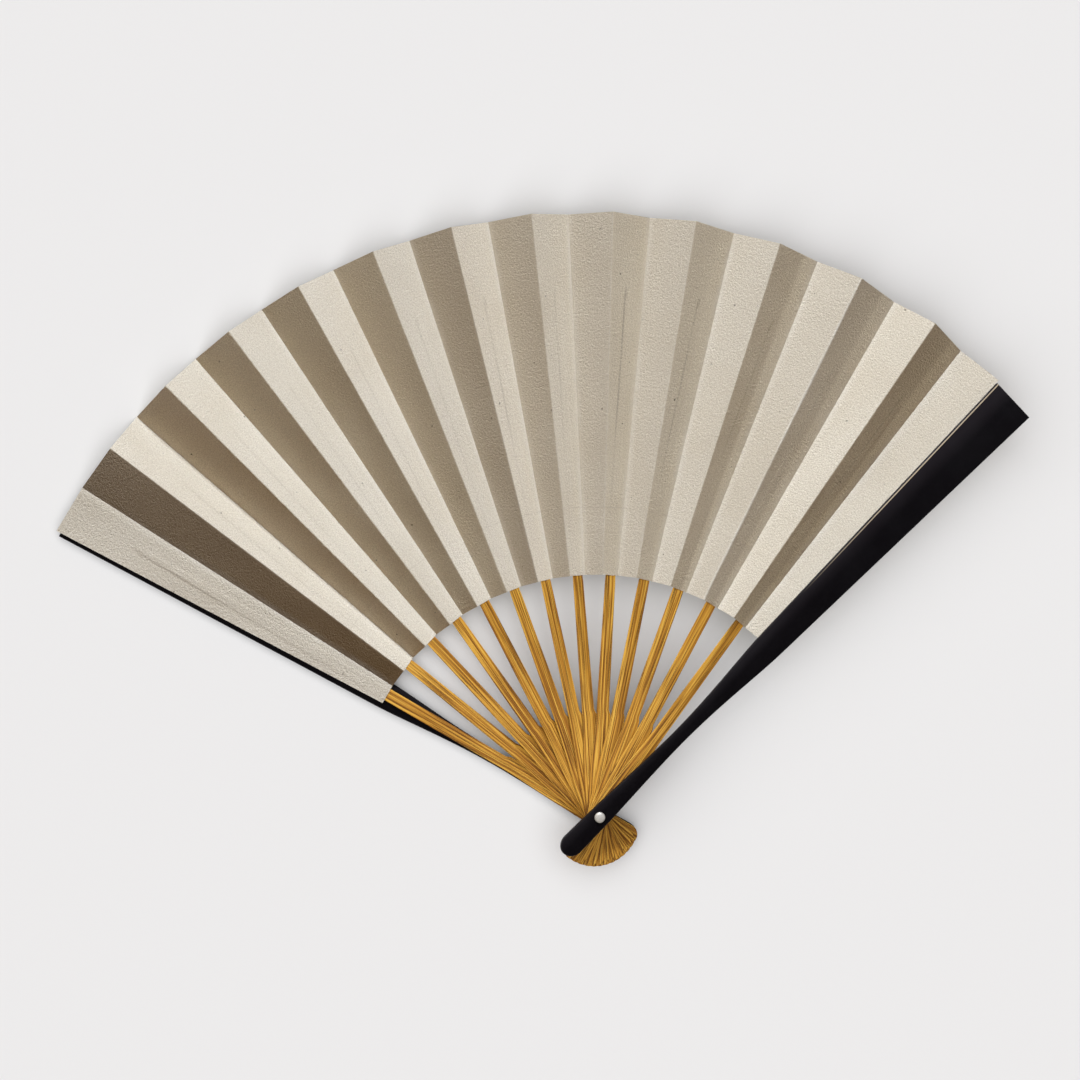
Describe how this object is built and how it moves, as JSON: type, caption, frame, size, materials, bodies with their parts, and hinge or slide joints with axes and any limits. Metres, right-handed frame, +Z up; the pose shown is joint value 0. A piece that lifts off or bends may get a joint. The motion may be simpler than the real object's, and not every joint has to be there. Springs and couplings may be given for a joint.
{
  "type": "folding fan",
  "caption": "Paper folding fan: flat bamboo ribs between two black lacquered guards, strung on one rivet, with a pleated paper leaf that opens and folds shut.",
  "frame": {"origin": "on the rivet's axis, at the flat foot of its back head", "axes": "+Z up the rivet, from the back guard to the front guard; +Y along the open fan's centre line; +X across it, towards the front guard"},
  "size_m": [0.3411, 0.2266, 0.0178],
  "materials": {
    "black_lacquer": "gloss lacquer",
    "bamboo": "satin, oiled",
    "paper": "matt, fibrous",
    "rivet_metal": "satin"
  },
  "bodies": {
    "back_guard": {"back_guard": "black_lacquer", "rivet_shank": "rivet_metal", "rivet_front_head": "rivet_metal", "rivet_back_head": "rivet_metal", "rib_01": "bamboo", "leaf_panel_01": "paper"},
    "front_guard": {"front_guard": "black_lacquer", "leaf_panel_27": "paper"},
    "web_01": {"leaf_panel_02": "paper"},
    "rib_02": {"rib_02": "bamboo"},
    "pleat_02": {"leaf_panel_03": "paper"},
    "web_02": {"leaf_panel_04": "paper"},
    "rib_03": {"rib_03": "bamboo"},
    "pleat_03": {"leaf_panel_05": "paper"},
    "web_03": {"leaf_panel_06": "paper"},
    "rib_04": {"rib_04": "bamboo"},
    "pleat_04": {"leaf_panel_07": "paper"},
    "web_04": {"leaf_panel_08": "paper"},
    "rib_05": {"rib_05": "bamboo"},
    "pleat_05": {"leaf_panel_09": "paper"},
    "web_05": {"leaf_panel_10": "paper"},
    "rib_06": {"rib_06": "bamboo"},
    "pleat_06": {"leaf_panel_11": "paper"},
    "web_06": {"leaf_panel_12": "paper"},
    "rib_07": {"rib_07": "bamboo"},
    "pleat_07": {"leaf_panel_13": "paper"},
    "web_07": {"leaf_panel_14": "paper"},
    "rib_08": {"rib_08": "bamboo"},
    "pleat_08": {"leaf_panel_15": "paper"},
    "web_08": {"leaf_panel_16": "paper"},
    "rib_09": {"rib_09": "bamboo"},
    "pleat_09": {"leaf_panel_17": "paper"},
    "web_09": {"leaf_panel_18": "paper"},
    "rib_10": {"rib_10": "bamboo"},
    "pleat_10": {"leaf_panel_19": "paper"},
    "web_10": {"leaf_panel_20": "paper"},
    "rib_11": {"rib_11": "bamboo"},
    "pleat_11": {"leaf_panel_21": "paper"},
    "web_11": {"leaf_panel_22": "paper"},
    "rib_12": {"rib_12": "bamboo"},
    "pleat_12": {"leaf_panel_23": "paper"},
    "web_12": {"leaf_panel_24": "paper"},
    "rib_13": {"rib_13": "bamboo"},
    "pleat_13": {"leaf_panel_25": "paper"},
    "web_13": {"leaf_panel_26": "paper"}
  },
  "joints": [
    {"name": "fan_fold", "type": "hinge", "parent": "back_guard", "child": "front_guard", "pos_m": [0, 0, 0], "axis": [0, 0, 1], "range_deg": [0, 105.28]},
    {"name": "crease_01", "type": "hinge", "parent": "back_guard", "child": "web_01", "pos_m": [0, 0, 0.0041], "axis": [-0.7696, 0.6386, 0], "range_deg": [-159.12, 0], "deforming": ["leaf_panel_02"]},
    {"name": "rib_02_swing", "type": "hinge", "parent": "back_guard", "child": "rib_02", "pos_m": [0, 0, 0], "axis": [0, 0, 1], "range_deg": [0, 8.73]},
    {"name": "rib_02_twist", "type": "hinge", "parent": "rib_02", "child": "pleat_02", "pos_m": [0, 0, 0.0049], "axis": [-0.6937, 0.7203, 0], "range_deg": [-32.02, 0]},
    {"name": "crease_02", "type": "hinge", "parent": "pleat_02", "child": "web_02", "pos_m": [0, 0, 0.0049], "axis": [-0.6684, 0.7435, -0.0215], "range_deg": [-110.11, 0], "deforming": ["leaf_panel_04"]},
    {"name": "rib_03_swing", "type": "hinge", "parent": "back_guard", "child": "rib_03", "pos_m": [0, 0, 0], "axis": [0, 0, 1], "range_deg": [0, 16.48]},
    {"name": "rib_03_twist", "type": "hinge", "parent": "rib_03", "child": "pleat_03", "pos_m": [0, 0, 0.0057], "axis": [-0.5904, 0.8071, 0], "range_deg": [-32.02, 0]},
    {"name": "crease_03", "type": "hinge", "parent": "pleat_03", "child": "web_03", "pos_m": [0, 0, 0.0057], "axis": [-0.5621, 0.8268, -0.0215], "range_deg": [-110.11, 0], "deforming": ["leaf_panel_06"]},
    {"name": "rib_04_swing", "type": "hinge", "parent": "back_guard", "child": "rib_04", "pos_m": [0, 0, 0], "axis": [0, 0, 1], "range_deg": [0, 24.22]},
    {"name": "rib_04_twist", "type": "hinge", "parent": "rib_04", "child": "pleat_04", "pos_m": [0, 0, 0.0065], "axis": [-0.4762, 0.8793, 0], "range_deg": [-32.02, 0]},
    {"name": "crease_04", "type": "hinge", "parent": "pleat_04", "child": "web_04", "pos_m": [0, 0, 0.0065], "axis": [-0.4456, 0.895, -0.0215], "range_deg": [-110.11, 0], "deforming": ["leaf_panel_08"]},
    {"name": "rib_05_swing", "type": "hinge", "parent": "back_guard", "child": "rib_05", "pos_m": [0, 0, 0], "axis": [0, 0, 1], "range_deg": [0, 31.96]},
    {"name": "rib_05_twist", "type": "hinge", "parent": "rib_05", "child": "pleat_05", "pos_m": [0, 0, 0.0073], "axis": [-0.3534, 0.9355, 0], "range_deg": [-32.02, 0]},
    {"name": "crease_05", "type": "hinge", "parent": "pleat_05", "child": "web_05", "pos_m": [0, 0, 0.0073], "axis": [-0.321, 0.9469, -0.0215], "range_deg": [-110.11, 0], "deforming": ["leaf_panel_10"]},
    {"name": "rib_06_swing", "type": "hinge", "parent": "back_guard", "child": "rib_06", "pos_m": [0, 0, 0], "axis": [0, 0, 1], "range_deg": [0, 39.7]},
    {"name": "rib_06_twist", "type": "hinge", "parent": "rib_06", "child": "pleat_06", "pos_m": [0, 0, 0.0081], "axis": [-0.2242, 0.9745, 0], "range_deg": [-32.02, 0]},
    {"name": "crease_06", "type": "hinge", "parent": "pleat_06", "child": "web_06", "pos_m": [0, 0, 0.0081], "axis": [-0.1905, 0.9815, -0.0215], "range_deg": [-110.12, 0], "deforming": ["leaf_panel_12"]},
    {"name": "rib_07_swing", "type": "hinge", "parent": "back_guard", "child": "rib_07", "pos_m": [0, 0, 0], "axis": [0, 0, 1], "range_deg": [0, 47.45]},
    {"name": "rib_07_twist", "type": "hinge", "parent": "rib_07", "child": "pleat_07", "pos_m": [0, 0, 0.0089], "axis": [-0.0908, 0.9959, 0], "range_deg": [-32, 0]},
    {"name": "crease_07", "type": "hinge", "parent": "pleat_07", "child": "web_07", "pos_m": [0, 0, 0.0089], "axis": [-0.0565, 0.9982, -0.0215], "range_deg": [-110.29, 0], "deforming": ["leaf_panel_14"]},
    {"name": "rib_08_swing", "type": "hinge", "parent": "back_guard", "child": "rib_08", "pos_m": [0, 0, 0], "axis": [0, 0, 1], "range_deg": [0, 55.2]},
    {"name": "rib_08_twist", "type": "hinge", "parent": "rib_08", "child": "pleat_08", "pos_m": [0, 0, 0.0097], "axis": [0.0444, 0.999, 0], "range_deg": [-31.74, 0]},
    {"name": "crease_08", "type": "hinge", "parent": "pleat_08", "child": "web_08", "pos_m": [0, 0, 0.0097], "axis": [0.0788, 0.9967, -0.0213], "range_deg": [-111.66, 0], "deforming": ["leaf_panel_16"]},
    {"name": "rib_09_swing", "type": "hinge", "parent": "back_guard", "child": "rib_09", "pos_m": [0, 0, 0], "axis": [0, 0, 1], "range_deg": [0, 63.06]},
    {"name": "rib_09_twist", "type": "hinge", "parent": "rib_09", "child": "pleat_09", "pos_m": [0, 0, 0.0105], "axis": [0.1804, 0.9836, 0], "range_deg": [-29.88, 0]},
    {"name": "crease_09", "type": "hinge", "parent": "pleat_09", "child": "web_09", "pos_m": [0, 0, 0.0105], "axis": [0.2149, 0.9764, -0.0202], "range_deg": [-117.27, 0], "deforming": ["leaf_panel_18"]},
    {"name": "rib_10_swing", "type": "hinge", "parent": "back_guard", "child": "rib_10", "pos_m": [0, 0, 0], "axis": [0, 0, 1], "range_deg": [0, 71.21]},
    {"name": "rib_10_twist", "type": "hinge", "parent": "rib_10", "child": "pleat_10", "pos_m": [0, 0, 0.0113], "axis": [0.3181, 0.9481, 0], "range_deg": [-24.54, 0]},
    {"name": "crease_10", "type": "hinge", "parent": "pleat_10", "child": "web_10", "pos_m": [0, 0, 0.0113], "axis": [0.3528, 0.9355, -0.0168], "range_deg": [-127.62, 0], "deforming": ["leaf_panel_20"]},
    {"name": "rib_11_swing", "type": "hinge", "parent": "back_guard", "child": "rib_11", "pos_m": [0, 0, 0], "axis": [0, 0, 1], "range_deg": [0, 79.71]},
    {"name": "rib_11_twist", "type": "hinge", "parent": "rib_11", "child": "pleat_11", "pos_m": [0, 0, 0.0121], "axis": [0.4548, 0.8906, 0], "range_deg": [-20.07, 0]},
    {"name": "crease_11", "type": "hinge", "parent": "pleat_11", "child": "web_11", "pos_m": [0, 0, 0.0121], "axis": [0.4884, 0.8725, -0.0139], "range_deg": [-132.72, 0], "deforming": ["leaf_panel_22"]},
    {"name": "rib_12_swing", "type": "hinge", "parent": "back_guard", "child": "rib_12", "pos_m": [0, 0, 0], "axis": [0, 0, 1], "range_deg": [0, 88.26]},
    {"name": "rib_12_twist", "type": "hinge", "parent": "rib_12", "child": "pleat_12", "pos_m": [0, 0, 0.0129], "axis": [0.5822, 0.8131, 0], "range_deg": [-23.27, 0]},
    {"name": "crease_12", "type": "hinge", "parent": "pleat_12", "child": "web_12", "pos_m": [0, 0, 0.0129], "axis": [0.612, 0.7907, -0.016], "range_deg": [-124.92, 0], "deforming": ["leaf_panel_24"]},
    {"name": "rib_13_swing", "type": "hinge", "parent": "back_guard", "child": "rib_13", "pos_m": [0, 0, 0], "axis": [0, 0, 1], "range_deg": [0, 96.49]},
    {"name": "rib_13_twist", "type": "hinge", "parent": "rib_13", "child": "pleat_13", "pos_m": [0, 0, 0.0137], "axis": [0.6926, 0.7214, 0], "range_deg": [-29.09, 0]},
    {"name": "crease_13", "type": "hinge", "parent": "pleat_13", "child": "web_13", "pos_m": [0, 0, 0.0137], "axis": [0.7176, 0.6962, -0.0197], "range_deg": [-131.43, 0], "deforming": ["leaf_panel_26"]}
  ],
  "couplings": [
    {"joint": "crease_01", "follows": "fan_fold", "ratio": -1.5112},
    {"joint": "rib_02_swing", "follows": "fan_fold", "ratio": 0.082783},
    {"joint": "rib_02_twist", "follows": "fan_fold", "ratio": -0.30395},
    {"joint": "crease_02", "follows": "fan_fold", "ratio": -1.0457},
    {"joint": "rib_03_swing", "follows": "fan_fold", "ratio": 0.15632},
    {"joint": "rib_03_twist", "follows": "fan_fold", "ratio": -0.30395},
    {"joint": "crease_03", "follows": "fan_fold", "ratio": -1.0457},
    {"joint": "rib_04_swing", "follows": "fan_fold", "ratio": 0.22987},
    {"joint": "rib_04_twist", "follows": "fan_fold", "ratio": -0.30395},
    {"joint": "crease_04", "follows": "fan_fold", "ratio": -1.0457},
    {"joint": "rib_05_swing", "follows": "fan_fold", "ratio": 0.30341},
    {"joint": "rib_05_twist", "follows": "fan_fold", "ratio": -0.30395},
    {"joint": "crease_05", "follows": "fan_fold", "ratio": -1.0457},
    {"joint": "rib_06_swing", "follows": "fan_fold", "ratio": 0.37695},
    {"joint": "rib_06_twist", "follows": "fan_fold", "ratio": -0.30395},
    {"joint": "crease_06", "follows": "fan_fold", "ratio": -1.0458},
    {"joint": "rib_07_swing", "follows": "fan_fold", "ratio": 0.4505},
    {"joint": "rib_07_twist", "follows": "fan_fold", "ratio": -0.30379},
    {"joint": "crease_07", "follows": "fan_fold", "ratio": -1.0474},
    {"joint": "rib_08_swing", "follows": "fan_fold", "ratio": 0.52417},
    {"joint": "rib_08_twist", "follows": "fan_fold", "ratio": -0.30128},
    {"joint": "crease_08", "follows": "fan_fold", "ratio": -1.0604},
    {"joint": "rib_09_swing", "follows": "fan_fold", "ratio": 0.59875},
    {"joint": "rib_09_twist", "follows": "fan_fold", "ratio": -0.28359},
    {"joint": "crease_09", "follows": "fan_fold", "ratio": -1.1136},
    {"joint": "rib_10_swing", "follows": "fan_fold", "ratio": 0.67616},
    {"joint": "rib_10_twist", "follows": "fan_fold", "ratio": -0.2329},
    {"joint": "crease_10", "follows": "fan_fold", "ratio": -1.212},
    {"joint": "rib_11_swing", "follows": "fan_fold", "ratio": 0.75697},
    {"joint": "rib_11_twist", "follows": "fan_fold", "ratio": -0.19041},
    {"joint": "crease_11", "follows": "fan_fold", "ratio": -1.2604},
    {"joint": "rib_12_swing", "follows": "fan_fold", "ratio": 0.83818},
    {"joint": "rib_12_twist", "follows": "fan_fold", "ratio": -0.22089},
    {"joint": "crease_12", "follows": "fan_fold", "ratio": -1.1863},
    {"joint": "rib_13_swing", "follows": "fan_fold", "ratio": 0.91634},
    {"joint": "rib_13_twist", "follows": "fan_fold", "ratio": -0.27613},
    {"joint": "crease_13", "follows": "fan_fold", "ratio": -1.2482}
  ]
}
